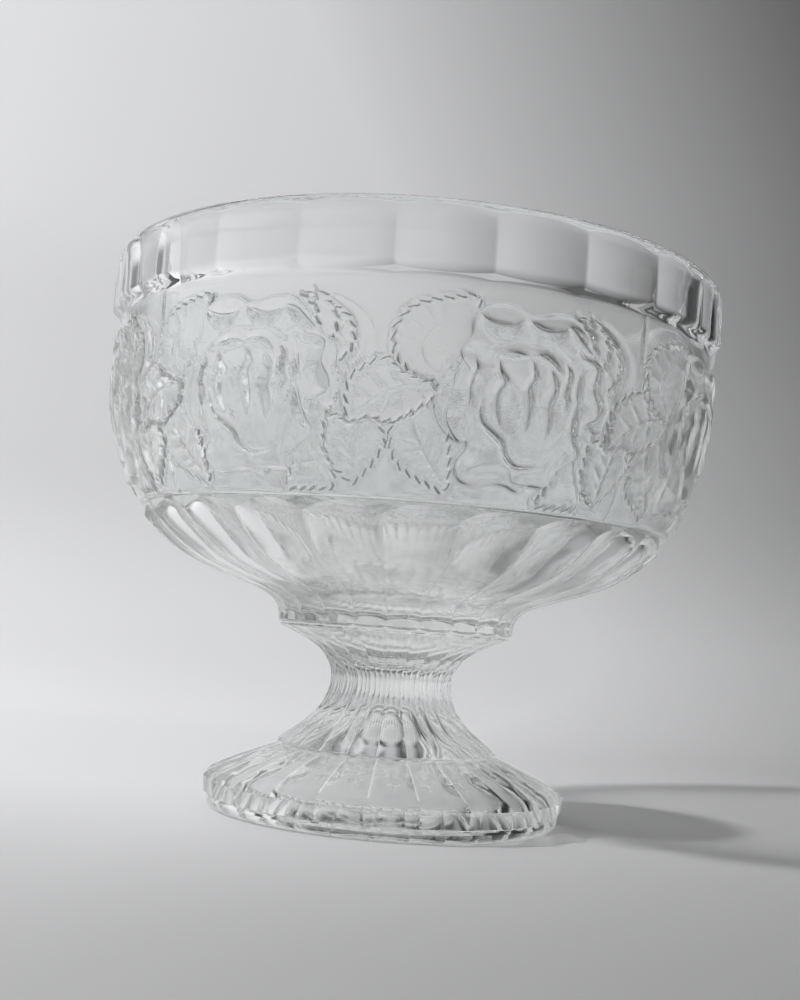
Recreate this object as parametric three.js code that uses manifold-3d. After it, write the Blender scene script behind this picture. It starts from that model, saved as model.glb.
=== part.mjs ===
// A footed bowl of clear pressed glass: a wide bowl with a frieze of roses and leaves, on a hollow foot.
// Millimetres, +Z up, origin in the middle of the foot's base, on the table. -Y is the front.
//
// Bowl and foot are two pressings, joined by a thin film. Each is turned on a lathe, with rings that are
// drawn in between the ridges, so that the round wall becomes concave flutes. The carving stands on the frieze.

import * as THREE from 'three';
import { mergeVertices } from 'three/addons/utils/BufferGeometryUtils.js';
import Module from 'manifold-3d';

const wasm = await Module();
wasm.setup();

// Pattern
const FLUTES = 24;              // flutes all round the rim, the bowl and the foot
const FLUTE_FACES = 3;          // flat faces across each flute
const SMOOTH_FACES = 36;        // flat faces round the plain surfaces: the inside and the frieze
const ROSES = 8;                // roses round the frieze, with a sprig of leaves between every two

// Foot: heights are stacked from the table up
const PLAIN_RING_H = 3.5;       // smooth ring at the bottom
const FACET_H = 5.5;            // upright band of facets over it
const DOME_H = 10.3;            // fluted dome
const STEP_H = 0.9;             // step from the dome up to the lip at the stem's lower end
const STEM_LOWER_H = 19.3;      // lip to waist
const STEM_UPPER_H = 16.5;      // waist to joint
const HOLLOW_H = 28.5;          // hollow under the foot
const FOOT_R = 55.2;            // widest place, over the ridges
const PLAIN_RING_IN = 1.4;      // the smooth ring lies this far inside it
const BASE_IN = 2.0;            // the standing face starts this far inside the smooth ring
const BASE_W = 4.2;             // width of the standing face
const HOLLOW_TOP_R = 10.5;      // radius of the hollow's rounded top
const LIP_STEP_R = 33.9;        // lip at the stem's lower end
const STEM_R = 18.8;            // waist of the stem
const JOINT_R = 35.6;           // the two flat faces that are joined
const FOOT_FLUTE = 1.3;         // depth of the flutes
const STEM_FLUTE = 0.8;

// Joint
const BOND_H = 0.3;             // film of clear bond
const BOND_MARGIN = 0.8;        // it stops this far inside the faces

// Bowl: heights are stacked from the joint up
const LOWER_H = 28.6;           // joint to the tips of the lower flutes' ridges
const ARCH_H = 3.1;             // arched tops of these flutes, over the tips
const BORDER_GAP = 0.9;         // plain strip between the arches and the frieze
const FRIEZE_H = 54.4;          // the frieze's ground
const LEDGE_H = 1.1;            // sloping ledge under the rim band
const BAND_H = 17.8;            // rim band
const LIP_H = 1.6;              // rounded lip
const FRIEZE_R = 91.7;          // the frieze's ground, where the wall is upright
const FRIEZE_DRAW = 10.3;       // the ground is drawn in by this much at its lower border
const BORDER_LEDGE = 1.8;       // the flute tips lie this far inside the border
const COLLAR_OUT = 1.3;         // the collar's edge stands this far out of the joint
const BAND_OUT = 3.3;           // the rim band's ridges stand this far out of the ground
const LIP_IN = 3.4;             // the lip's top lies this far inside the ridges
const LIP_W = 1.3;              // width of the lip's top
const WALL = 4.2;               // wall at the frieze and at the bottom of the flutes
const FLOOR = 8.0;              // glass under the middle of the bowl
const BOWL_FLUTE = 2.6;         // depth of the lower flutes
const BAND_FLUTE = 1.4;         // depth of the rim band's panels
const PANEL_ARCH = 3.0;         // rise of the panels' arched tops

// Carving: how far each layer stands out of the ground
const LEAF_H = 1.0;
const UPPER_LEAF_H = 1.5;
const ROSE_BACK_H = 1.4;
const ROSE_RING_H = 2.2;
const ROSE_CUP_H = 3.0;
const TOOTH = 0.9;              // depth of the teeth along a leaf's edge
const ROOT = 1.5;               // each layer starts this deep in the wall
const DRAWN_PITCH = 72.0;       // the outlines are drawn for this distance from rose to rose
const DRAWN_H = 54.4;           // and for a frieze of this height

// Places that follow from these sizes
const FACET_Z = PLAIN_RING_H;
const DOME_Z = FACET_Z + FACET_H;
const STEP_Z = DOME_Z + DOME_H;
const STEM_Z = STEP_Z + STEP_H;
const WAIST_Z = STEM_Z + STEM_LOWER_H;
const JOINT_Z = WAIST_Z + STEM_UPPER_H;
const BOWL_Z = JOINT_Z + BOND_H;
const TIP_Z = BOWL_Z + LOWER_H;
const FRIEZE_Z = TIP_Z + ARCH_H + BORDER_GAP;
const LEDGE_Z = FRIEZE_Z + FRIEZE_H;
const BAND_Z = LEDGE_Z + LEDGE_H;
const LIP_Z = BAND_Z + BAND_H;
const TOP_Z = LIP_Z + LIP_H;
const PLAIN_RING_R = FOOT_R - PLAIN_RING_IN;
const BASE_R = PLAIN_RING_R - BASE_IN;
const BASE_INNER_R = BASE_R - BASE_W;
const COLLAR_R = JOINT_R + COLLAR_OUT;
const BORDER_R = FRIEZE_R - FRIEZE_DRAW;
const TIP_R = BORDER_R - BORDER_LEDGE;
const BAND_R = FRIEZE_R + BAND_OUT;
const LIP_R = BAND_R - LIP_IN;

const glass = (color) => new THREE.MeshStandardMaterial({
  color, roughness: 0.06, metalness: 0, transparent: true, opacity: 0.4,
});

// Solids

// A closed geometry becomes a manifold solid: seams are merged and flat triangles at the axis dropped.
function solid(geometry) {
  const bare = geometry.clone();
  bare.deleteAttribute('normal');
  bare.deleteAttribute('uv');
  const merged = mergeVertices(bare, 1e-4);
  const index = merged.index.array;
  const triangles = [];
  for (let i = 0; i < index.length; i += 3) {
    const [a, b, c] = [index[i], index[i + 1], index[i + 2]];
    if (a !== b && b !== c && c !== a) triangles.push(a, b, c);
  }
  const vertProperties = new Float32Array(merged.attributes.position.array);
  const triVerts = new Uint32Array(triangles);
  return new wasm.Manifold(new wasm.Mesh({ numProp: 3, vertProperties, triVerts }));
}

function mesh(name, body, material) {
  const { vertProperties, triVerts } = body.getMesh();
  const geometry = new THREE.BufferGeometry();
  geometry.setAttribute('position', new THREE.BufferAttribute(vertProperties, 3));
  geometry.setIndex(new THREE.BufferAttribute(triVerts, 1));
  geometry.computeVertexNormals();
  const result = new THREE.Mesh(geometry, material);
  result.name = name;
  return result;
}

function lathe(points, faces) {
  const profile = points.map(([r, z]) => new THREE.Vector2(r, z));
  return solid(new THREE.LatheGeometry(profile, faces).rotateX(Math.PI / 2));
}

// A ring of a fluted body: radius and height over the ridges, and how far the middle of a flute lies
// inside the ridges (depth) and above them (lift)
const ring = (r, z, depth = 0, lift = 0) => ({ r, z, depth, lift });

// 0 on a ridge and 1 in the middle of a flute, as a parabola
function hollowness(angle) {
  const turn = angle / (2 * Math.PI / FLUTES);
  const fromMiddle = turn - Math.floor(turn) - 0.5;
  return 1 - 4 * fromMiddle ** 2;
}

// Rings run with the surface on their right: outwards along the bottom, up the outside, back to the axis.
function fluted(rings) {
  const faces = FLUTES * FLUTE_FACES;
  const profile = rings.map(({ r, z }) => new THREE.Vector2(r, z));
  const geometry = new THREE.LatheGeometry(profile, faces).rotateX(Math.PI / 2);
  const position = geometry.attributes.position;
  for (let i = 0; i < position.count; i++) {
    const { r, z, depth, lift } = rings[i % rings.length];
    const angle = Math.floor(i / rings.length) * 2 * Math.PI / faces;
    const drawn = hollowness(angle);
    const radius = r - depth * drawn;
    position.setXYZ(i, radius * Math.sin(angle), -radius * Math.cos(angle), z + lift * drawn);
  }
  return solid(geometry);
}

// Points between two corners of a profile, each given as its share of the way out and of the way up,
// and the depth of the flutes there
function rise([r0, z0], [r1, z1], shares) {
  return shares.map(([out, up, depth = 0]) => ring(r0 + (r1 - r0) * out, z0 + (z1 - z0) * up, depth));
}

// The same line, moved inwards by the wall
function inset(points, wall) {
  return points.map(([r, z], i) => {
    const [r0, z0] = points[Math.max(i - 1, 0)];
    const [r1, z1] = points[Math.min(i + 1, points.length - 1)];
    const length = Math.hypot(r1 - r0, z1 - z0);
    return [r - wall * (z1 - z0) / length, z + wall * (r1 - r0) / length];
  });
}

// Foot: plain ring, band of facets, fluted dome, stepped lip, and a fluted stem that opens into the joint

function makeFoot() {
  const hollow = rise([HOLLOW_TOP_R, HOLLOW_H * 0.78], [BASE_INNER_R, 0], [[0, 0], [0.31, 0.27],
    [0.64, 0.5], [0.88, 0.77], [1, 1]]);
  const dome = rise([FOOT_R, DOME_Z], [LIP_STEP_R, STEP_Z], [[0.13, 0.22, FOOT_FLUTE],
    [0.54, 0.61, FOOT_FLUTE]]);
  const lower = rise([LIP_STEP_R, STEM_Z], [STEM_R, WAIST_Z], [[0, 0, STEM_FLUTE],
    [0.44, 0.27, FOOT_FLUTE], [0.8, 0.56, STEM_FLUTE], [1, 1, STEM_FLUTE]]);
  const upper = rise([STEM_R, WAIST_Z], [JOINT_R, JOINT_Z], [[0.02, 0.24, STEM_FLUTE],
    [0.18, 0.5, STEM_FLUTE], [0.5, 0.74, FOOT_FLUTE], [0.86, 0.9, FOOT_FLUTE], [1.02, 0.97, STEM_FLUTE / 2],
    [1, 1, STEM_FLUTE / 2]]);
  return fluted([
    ring(0, HOLLOW_H),
    ring(HOLLOW_TOP_R * 0.7, HOLLOW_H * 0.92),
    ...hollow,
    ring(BASE_R, 0),
    ring(PLAIN_RING_R - BASE_IN / 5, PLAIN_RING_H / 4),
    ring(PLAIN_RING_R, FACET_Z),
    ring(FOOT_R - PLAIN_RING_IN / 2, FACET_Z + FACET_H / 10, FOOT_FLUTE * 0.7),
    ring(FOOT_R, DOME_Z, FOOT_FLUTE, -FOOT_FLUTE / 4),
    ...dome,
    ring(LIP_STEP_R - STEP_H, STEP_Z, STEM_FLUTE),
    ...lower,
    ...upper,
    ring(0, JOINT_Z),
  ]);
}

// Film of bond between the flat faces of foot and bowl

function makeBond() {
  const radius = JOINT_R - BOND_MARGIN;
  const film = new THREE.CylinderGeometry(radius, radius, BOND_H, SMOOTH_FACES);
  return solid(film.rotateX(Math.PI / 2).translate(0, 0, JOINT_Z + BOND_H / 2));
}

// Bowl: fluted lower part, frieze, rim band and lip, with a smooth inside

// The frieze's ground, from its lower border up to the ledge
const ground = rise([BORDER_R, FRIEZE_Z], [FRIEZE_R, LEDGE_Z], [[0, 0], [0.56, 0.26], [0.92, 0.55], [1, 1]])
  .map(({ r, z }) => [r, z]);

// The lower flutes, from the collar up to the ring below their tips
const lowerFlutes = rise([COLLAR_R, BOWL_Z], [TIP_R, TIP_Z], [[0.03, 0.17, BOWL_FLUTE * 0.4],
  [0.13, 0.29, BOWL_FLUTE * 0.6], [0.4, 0.44, BOWL_FLUTE * 0.8], [0.69, 0.62, BOWL_FLUTE * 0.9],
  [0.895, 0.815, BOWL_FLUTE]]);

function bowlInside() {
  const wall = inset([
    ...lowerFlutes.slice(1).map(({ r, z, depth }) => [r - depth, z]),
    [TIP_R - BOWL_FLUTE / 2, TIP_Z],
    ...ground.slice(1),
  ], WALL);
  const [floorR, floorZ] = wall[0];
  const middleZ = BOWL_Z + FLOOR;
  const innerLipR = LIP_R - LIP_W;
  const above = TOP_Z + LIP_H;
  return lathe([
    [0, middleZ],
    [floorR * 0.6, middleZ + (floorZ - middleZ) * 0.3],
    ...wall,
    [innerLipR - LIP_H, LIP_Z - LIP_H / 2],
    [innerLipR, TOP_Z - LIP_H / 4],
    [innerLipR + LIP_W / 3, above],
    [0, above],
  ], SMOOTH_FACES);
}

function bowlBody() {
  const hidden = FRIEZE_R - ROOT;
  const body = fluted([
    ring(0, BOWL_Z),
    ring(JOINT_R, BOWL_Z, STEM_FLUTE / 2),
    ring(COLLAR_R, BOWL_Z + STEM_FLUTE, BOWL_FLUTE / 4),
    ...lowerFlutes,
    ring(TIP_R, TIP_Z, 0, ARCH_H),
    ring(TIP_R, FRIEZE_Z + ROOT / 2),
    ring(hidden, FRIEZE_Z + FRIEZE_H * 0.6),
    ring(hidden, LEDGE_Z - ROOT / 2),
    ring(BAND_R, BAND_Z, BAND_FLUTE, -BAND_FLUTE / 4),
    ring(BAND_R, BAND_Z + BAND_H * 0.4, BAND_FLUTE),
    ring(BAND_R - BAND_FLUTE / 4, BAND_Z + BAND_H * 0.73, BAND_FLUTE * 0.8, PANEL_ARCH),
    ring(BAND_R - LIP_IN / 2, LIP_Z),
    ring(LIP_R, TOP_Z),
    ring(0, TOP_Z),
  ]);
  const drum = lathe([[0, FRIEZE_Z], ...ground, [FRIEZE_R, BAND_Z], [0, BAND_Z]], SMOOTH_FACES);
  return body.add(drum).subtract(bowlInside());
}

// Carving

// A shell on the frieze's ground, which stands out of it by height
function shell(height) {
  const outer = ground.map(([r, z]) => [r + height, z]);
  const inner = ground.map(([r, z]) => [r - ROOT, z]).reverse();
  return lathe([...outer, ...inner, outer[0]], SMOOTH_FACES);
}

// A cutter that runs out from the axis. Its outline's u goes round the frieze and v up from its middle.
function cutter(outline, centre) {
  const near = FRIEZE_R / 2;
  const far = BAND_R + FRIEZE_R / 4;
  const shape = new THREE.Shape(outline.map(([u, v]) => new THREE.Vector2(u, v)));
  const geometry = new THREE.ExtrudeGeometry(shape, { depth: far - near, bevelEnabled: false });
  const position = geometry.attributes.position;
  for (let i = 0; i < position.count; i++) {
    const angle = centre + position.getX(i) / DRAWN_PITCH * 2 * Math.PI / ROSES;
    const z = FRIEZE_Z + (0.5 + position.getY(i) / DRAWN_H) * FRIEZE_H;
    const radius = near + position.getZ(i);
    position.setXYZ(i, radius * Math.sin(angle), -radius * Math.cos(angle), z);
  }
  return solid(geometry);
}

const smoothEdge = (points) =>
  new THREE.CatmullRomCurve3(points.map(([u, v]) => new THREE.Vector3(u, v, 0)), true);

function petal(points, corners) {
  return smoothEdge(points).getSpacedPoints(corners).slice(1).map(({ x, y }) => [x, y]);
}

// A leaf has teeth along its edge, each leaning forwards.
function leaf(points, teeth) {
  const edge = smoothEdge(points);
  const step = 1 / (2 * teeth);
  const outline = [];
  for (let i = 0; i < teeth; i++) {
    const notch = edge.getPointAt(2 * i * step);
    const at = (2 * i + 0.6) * step;
    const tip = edge.getPointAt(at);
    const ahead = edge.getTangentAt(at);
    outline.push([notch.x, notch.y], [tip.x - ahead.y * TOOTH, tip.y + ahead.x * TOOTH]);
  }
  return outline;
}

// Outlines run clockwise, seen from outside. u is counted from the rose's middle line.
const ROSE = [
  { height: ROSE_BACK_H, outline: petal([
    [-18, 10], [-15.5, 17], [-9, 22.2], [-2.6, 20.7], [0.5, 18.8], [4.5, 21.2], [10.5, 21.6], [17.5, 14.5],
    [22.6, 9.5], [23, 4], [24.3, -1], [21, -3.6], [15, -7.5], [16.3, -11.5], [12.4, -15.5], [9.5, -22.4],
    [0, -22.4], [-8, -21.5], [-14.5, -22.8], [-17.4, -19.3], [-15.6, -13], [-22, -8.3], [-24.4, -1.5],
    [-21, 5.2], [-17.5, 7.5],
  ], 19) },
  { height: ROSE_RING_H, outline: petal([
    [-10, 11], [-3, 13.2], [6, 12], [12, 8.5], [14.3, 3], [12.6, -4], [9.5, -11.5], [5.6, -16.5],
    [0, -16.8], [-3.5, -15], [-6, -11.3], [-11.5, -8.5], [-14, -4], [-14.6, 6],
  ], 10) },
  { height: ROSE_CUP_H, outline: petal([
    [-9.6, 8.5], [-6, 11.3], [0, 11.4], [6, 10], [8.2, 5], [6.9, -1], [7.4, -6], [3.5, -10.8], [-2, -11.2],
    [-6.2, -8], [-8.3, -3], [-9, 3],
  ], 10) },
  { height: LEAF_H, outline: leaf([
    [14, -9], [20.8, -3.5], [20, -11], [19.3, -17.5], [23, -24.5], [16, -25.4], [8.6, -25.2], [8, -20],
  ], 5) },
];

// u is counted from the middle line between two roses.
const SPRIG = [
  { height: LEAF_H, outline: leaf([
    [-9.7, -8.6], [-3.4, -7.6], [-0.6, -13], [-2.4, -18.5], [-8.5, -23.4], [-13.5, -20.2], [-16.2, -14.5],
    [-18.2, -9.4], [-14, -7],
  ], 5) },
  { height: LEAF_H, outline: leaf([
    [11.5, -2.7], [16, -8], [17.2, -16], [16.8, -24], [10, -22.6], [4.4, -19.5], [2, -14], [1.9, -8.6],
  ], 5) },
  { height: LEAF_H, outline: leaf([
    [20.6, 22.6], [20.2, 8.6], [12.2, 0.6], [4.2, 4.3], [1.3, 10], [1.9, 15.4], [6.2, 20.4], [13, 22.4],
  ], 5) },
  { height: UPPER_LEAF_H, outline: leaf([
    [11.6, -1.5], [4, -8], [-4, -8.6], [-9.8, -9.4], [-10, -2], [-6.4, 3.6], [-0.2, 6.2], [5, 2.4],
  ], 5) },
  { height: LEAF_H, outline: leaf([
    [-20.5, 21.5], [-12, 17.2], [-8.2, 12.5], [-8.8, 6], [-14.2, 4.6], [-15.6, 11.5],
  ], 5) },
];

function makeBowl() {
  const pitch = 2 * Math.PI / ROSES;
  let bowl = bowlBody();
  for (const [layers, start] of [[ROSE, pitch / 2], [SPRIG, 0]]) {
    for (const { height, outline } of layers) {
      const layer = shell(height);
      for (let i = 0; i < ROSES; i++) {
        bowl = bowl.add(layer.intersect(cutter(outline, start + i * pitch)));
      }
    }
  }
  return bowl;
}

const footedBowl = new THREE.Group();
footedBowl.add(mesh('foot', makeFoot(), glass(0xdde6e3)));
footedBowl.add(mesh('bond_film', makeBond(), glass(0xe9eeec)));
footedBowl.add(mesh('bowl', makeBowl(), glass(0xe2e9e7)));

export default footedBowl;
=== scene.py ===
# %% [markdown]
# A footed bowl of clear pressed glass.
#
# The bowl is two pressings of soda-lime glass, joined with a thin film of clear bond. A rose frieze runs
# round the bowl between a band of 24 concave panels and 24 long flutes. The frieze was etched with acid,
# so it is satin, and the rest was fire-polished, so it is clear.
#
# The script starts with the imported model, which fixes every size. All three solids are then modelled again:
# both glass bodies with smooth walls and the carving, and the film of bond between them.

# %% Load the frame
import math

import bpy
import numpy as np
from mathutils import Matrix


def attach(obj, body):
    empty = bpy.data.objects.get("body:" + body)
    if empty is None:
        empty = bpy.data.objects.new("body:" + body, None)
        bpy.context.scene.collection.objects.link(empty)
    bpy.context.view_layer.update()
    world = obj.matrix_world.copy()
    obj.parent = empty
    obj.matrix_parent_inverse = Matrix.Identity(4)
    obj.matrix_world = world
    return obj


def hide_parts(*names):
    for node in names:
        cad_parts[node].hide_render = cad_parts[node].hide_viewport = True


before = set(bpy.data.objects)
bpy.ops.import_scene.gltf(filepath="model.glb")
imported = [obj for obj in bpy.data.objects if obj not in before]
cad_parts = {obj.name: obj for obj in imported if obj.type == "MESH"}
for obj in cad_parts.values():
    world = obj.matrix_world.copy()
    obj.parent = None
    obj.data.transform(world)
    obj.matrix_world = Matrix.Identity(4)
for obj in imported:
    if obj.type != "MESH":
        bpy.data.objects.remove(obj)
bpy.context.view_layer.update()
bpy.ops.object.select_all(action="DESELECT")

# %% [markdown]
# The camera stands two rim widths away and a little above the joint of foot and bowl, so it sees the rim from
# below and the foot from above. It is tilted up and rolled, which makes the bowl lean to the right.

# %% Camera
MM = 0.001
CAMERA_TURN = math.radians(4.2)       # round the bowl, from the front to the right
CAMERA_PLACE = (27.3 * MM, -390.2 * MM, 56.6 * MM)
TILT = math.radians(5.9)
ROLL = math.radians(4.3)
FRAME_HEIGHT, LENS = 36, 44.8         # of the sensor and the lens, in millimetres

bpy.ops.object.camera_add(location=CAMERA_PLACE)
camera = bpy.context.object
camera.name = "camera"
turned = Matrix.Rotation(CAMERA_TURN, 3, "Z") @ Matrix.Rotation(math.pi / 2 + TILT, 3, "X")
camera.rotation_euler = (turned @ Matrix.Rotation(ROLL, 3, "Z")).to_euler()
camera.data.sensor_fit = "VERTICAL"
camera.data.sensor_height = FRAME_HEIGHT
camera.data.lens = LENS
camera.data.clip_start = 0.01
bpy.context.scene.camera = camera
print("camera at", [round(c, 3) for c in camera.location], "lens", camera.data.lens)

# %% [markdown]
# Everything is turned on a lathe first, as the mould was. A cylinder could be shaped ring by ring, but a
# profile holds every height and radius in one place. It is written in millimetres, as radius and height,
# and drawn as smooth curves that meet at corners. Its points are extruded one after the other from a single
# vertex, and the finished line is spun about the axis. 288 steps give each of the 24 flutes 12 faces.

# %% Lathe helpers
FLUTES = 24
STEPS = 12 * FLUTES
DOUBLE = 0.004 * MM                   # vertices closer than this are one


def ease(x):
    """0 below 0, 1 above 1, and smooth in between."""
    x = np.clip(x, 0, 1)
    return x * x * (3 - 2 * x)


def bump(x, middle, width):
    """1 in the middle, and almost 0 at twice the width from it."""
    return np.exp(-((x - middle) / width) ** 2)


def through(points, spacing, closed=False):
    """A smooth curve through the points, with new points about spacing apart."""
    points = np.array(points, float)
    before, after = (points[-1], points[:2]) if closed else (points[0], points[-1:])
    padded = np.vstack([before, points, after])
    curve = []
    for a, b, c, d in zip(padded, padded[1:], padded[2:], padded[3:]):
        count = max(1, round(np.linalg.norm(c - b) / spacing))
        for t in np.arange(count) / count:
            pull = (-t + 2 * t**2 - t**3) * a + (t**2 * (t - 1)) * d
            curve.append(0.5 * (pull + (2 - 5 * t**2 + 3 * t**3) * b + (t + 4 * t**2 - 3 * t**3) * c))
    if not closed:
        curve.append(points[-1])
    return np.array(curve)


def profile(*curves):
    """Joins curves, each given as its spacing and its points. A shared end is a corner."""
    line = [through(points, spacing) for spacing, points in curves]
    return np.vstack([line[0]] + [part[1:] for part in line[1:]])


def spin(name, line):
    """Draws the profile and turns it into a closed body round the Z axis."""
    line = line * MM
    bpy.ops.mesh.primitive_plane_add(size=MM, location=(line[0][0], 0, line[0][1]))
    piece = bpy.context.object
    piece.name = piece.data.name = name
    bpy.ops.object.transform_apply(location=True, rotation=False, scale=False)
    bpy.ops.object.mode_set(mode="EDIT")
    bpy.ops.mesh.select_mode(type="VERT")
    bpy.ops.mesh.merge(type="CENTER")
    for step in np.diff(line, axis=0):
        bpy.ops.mesh.extrude_vertices_move(TRANSFORM_OT_translate={"value": (step[0], 0, step[1])})
    bpy.ops.mesh.select_all(action="SELECT")
    bpy.ops.mesh.spin(steps=STEPS, angle=2 * math.pi, center=(0, 0, 0), axis=(0, 0, 1))
    bpy.ops.mesh.select_all(action="SELECT")
    bpy.ops.mesh.remove_doubles(threshold=DOUBLE)
    bpy.ops.mesh.normals_make_consistent(inside=False)
    bpy.ops.object.mode_set(mode="OBJECT")
    print(name, "turned:", len(line), "points,", len(piece.data.polygons), "faces")
    return piece


def select_none(kind):
    """Makes edit mode ready for vertices, edges or faces, selects none, and returns to object mode."""
    bpy.ops.object.mode_set(mode="EDIT")
    bpy.ops.mesh.select_mode(type=kind)
    bpy.ops.mesh.select_all(action="DESELECT")
    bpy.ops.object.mode_set(mode="OBJECT")


def places(piece):
    """Radius, angle and height of every vertex. The angle runs from the front, -Y, towards +X."""
    flat = np.empty(len(piece.data.vertices) * 3)
    piece.data.vertices.foreach_get("co", flat)
    x, y, z = flat.reshape(-1, 3).T / MM
    return np.hypot(x, y), np.arctan2(x, -y), z


def place(piece, radius, angle, height):
    """Moves every vertex to its new radius, angle and height."""
    moved = np.stack([radius * np.sin(angle), -radius * np.cos(angle), height], axis=1) * MM
    piece.data.vertices.foreach_set("co", moved.ravel())
    piece.data.update()


def hollowness(angle):
    """0 on the ridges and 1 in the middle of the flutes, which are parabolas across."""
    across = (angle / (2 * math.pi) * FLUTES) % 1 - 0.5
    return 1 - 4 * across**2


def to_ridges(angle, pull=0.75):
    """Moves angles towards the nearest ridge, so that the faces beside the ridges are narrow."""
    turn = angle / (2 * math.pi) * FLUTES
    return (turn - pull * np.sin(2 * math.pi * turn) / (2 * math.pi)) / FLUTES * 2 * math.pi


# %% [markdown]
# The foot has a plain ring that it stands on, an upright band of facets, a fluted dome, a small step and a
# fluted stem. Its ridges are what the profile draws. Between them the wall is drawn in by the depth of the
# flutes, which changes with the height. The flutes could also be cut out with 24 rods; moving the wall's own
# vertices keeps one closed skin with an even net. The columns of faces are gathered beside each ridge, whose
# narrow faces get a partly white finish further on, as a painted highlight. Underneath, the foot is hollow,
# smooth and a little satin.

# %% Foot
FOOT_HOLLOW = [(0, 30.6), (3.4, 30.3), (6.4, 29.2), (9.0, 26.4), (14.0, 20.2), (22, 16.4), (28.5, 13.3),
               (34.3, 11.1), (39.5, 8.2), (43.3, 5.1), (46, 2.4), (47.6, 0.3)]
foot_line = profile(
    (3.0, FOOT_HOLLOW),
    (0.5, [(47.6, 0.3), (47.9, 0.05), (48.4, 0)]),
    (3.4, [(48.4, 0), (51.4, 0)]),
    (0.5, [(51.4, 0), (52.3, 0.2), (53.1, 0.8), (53.6, 1.7)]),
    (0.9, [(53.6, 1.7), (53.8, 2.6), (53.7, 3.3)]),
    (0.4, [(53.7, 3.3), (53.9, 3.7), (54.5, 4.0)]),
    (1.2, [(54.5, 4.0), (54.9, 6.5), (55.2, 8.8)]),
    (0.6, [(55.2, 8.8), (54.6, 9.7), (53.4, 10.6)]),
    (1.5, [(53.4, 10.6), (48.8, 12.9), (43.7, 15.2), (38.4, 17.3), (33.4, 19.1)]),
    (0.3, [(33.4, 19.1), (32.4, 19.2), (32.1, 19.6), (33.3, 20.0), (33.9, 20.3)]),
    (1.5, [(33.9, 20.3), (32.0, 21.9), (27.3, 25.5), (23.8, 28.7), (21.1, 32), (19.4, 36), (18.8, 39.6),
           (19.2, 43.4), (21.8, 47.8), (24.3, 50), (27.2, 51.7), (30.6, 53.3), (33.2, 54.4), (35.4, 55.3)]),
    (0.3, [(35.4, 55.3), (35.7, 55.6), (35.6, 56)]),
    (12, [(35.6, 56), (0, 56)]),
)
foot = spin("foot_glass_body", foot_line)

# %% Flutes of the foot
# height, depth of the flutes and how far their middle is lifted
FOOT_FLUTES = np.array([(0, 0, 0), (3.3, 0, 0), (4.0, 0.9, 0), (8.8, 1.3, -0.3), (10.6, 1.7, 0),
                        (15.2, 1.8, 0), (19.1, 1.2, 0), (20.3, 0.8, 0), (25.4, 1.2, 0), (31, 0.9, 0),
                        (39.5, 0.7, 0), (43.5, 0.7, 0), (47.8, 0.9, 0), (51.7, 1.2, 0), (54.4, 0.9, 0),
                        (55.5, 0.4, 0), (56, 0.4, 0)])
STEM_R = 18                           # the outside comes no closer to the axis than this
FACETS_TOP = 9                        # the columns are gathered above the band of facets
radius, angle, height = places(foot)
hollow_radius = np.interp(height, *np.array(FOOT_HOLLOW[::-1]).T[::-1])
outside = (radius > hollow_radius + 0.2) & (height > 0.01) & (radius > STEM_R)
angle = np.where(outside & (height > FACETS_TOP), to_ridges(angle), angle)
share = hollowness(angle) * outside
radius = radius - np.interp(height, FOOT_FLUTES[:, 0], FOOT_FLUTES[:, 1]) * share
height = height + np.interp(height, FOOT_FLUTES[:, 0], FOOT_FLUTES[:, 2]) * share
place(foot, radius, angle, height)
mask = foot.data.attributes.new("satin", "FLOAT", "POINT")
mask.data.foreach_set("value", np.where(outside, 0, 0.6 * ease((height - 0.5) / 3)).astype(np.float32))
hollow = ~outside & (height > 0.2) & (height < 30)     # all of it but the rim and the very tip
print("foot: outside vertices", int(outside.sum()), "of", len(outside))

# %% [markdown]
# The bowl's profile runs from the joint up the collar and the long flutes, over a narrow ledge to the
# frieze, over another ledge to the rim band, round the lip, and down the smooth inside to the floor. The
# wall's thickness is drawn too, and not left to a modifier, because the inside is smooth where the outside
# is carved.

# %% Bowl
FRIEZE_LOW, FRIEZE_HIGH = 88.9, 143.3
GROUND = [(81.4, 89.2), (83.6, 93), (85.6, 98), (87.3, 103.2), (89.0, 109), (90.3, 115), (91.0, 121),
          (91.4, 128), (91.6, 136), (91.7, 143.3)]
INSIDE = [(88.4, 160), (87.8, 152), (87.3, 142), (86.7, 130), (85.8, 118), (84.2, 109.5), (81.8, 102),
          (78.8, 95.5), (75.4, 89), (71.2, 84), (65.2, 79.7), (58.5, 76.2), (51, 72.9), (43, 70.2),
          (34, 67.9), (25, 66.2), (15, 65.1), (6, 64.5), (0, 64.3)]
bowl_line = profile(
    (12, [(0, 56.3), (35.5, 56.3)]),
    (0.5, [(35.5, 56.3), (36.2, 56.5), (36.6, 57.2)]),
    (2.0, [(36.6, 57.2), (36.7, 59), (37.1, 60.8), (38.1, 62.6), (40.2, 64.4), (44.2, 66.3), (49.5, 68.1),
           (56.5, 70.4), (63.9, 73.3), (69.6, 76.4), (74.6, 80), (78.0, 83.2), (79.6, 84.9)]),
    (1.3, [(79.6, 84.9), (79.8, 88.5)]),
    (0.6, [(79.8, 88.5), (80.9, 88.6), (81.3, 88.8), (81.4, 89.2)]),
    (2.1, GROUND),
    (0.5, [(91.7, 143.3), (92.0, 143.7), (92.7, 144.3), (93.6, 144.9), (94.4, 145.7), (94.85, 146.7),
           (94.97, 148)]),
    (1.6, [(94.97, 148), (94.97, 152), (94.92, 156), (94.7, 159.4)]),
    (0.9, [(94.7, 159.4), (94.4, 161), (93.8, 162.4), (92.8, 163.4), (91.6, 163.8), (90.4, 163.5),
           (89.4, 162.4), (88.8, 161.2), (88.4, 160)]),
    (8, INSIDE),
)
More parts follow.
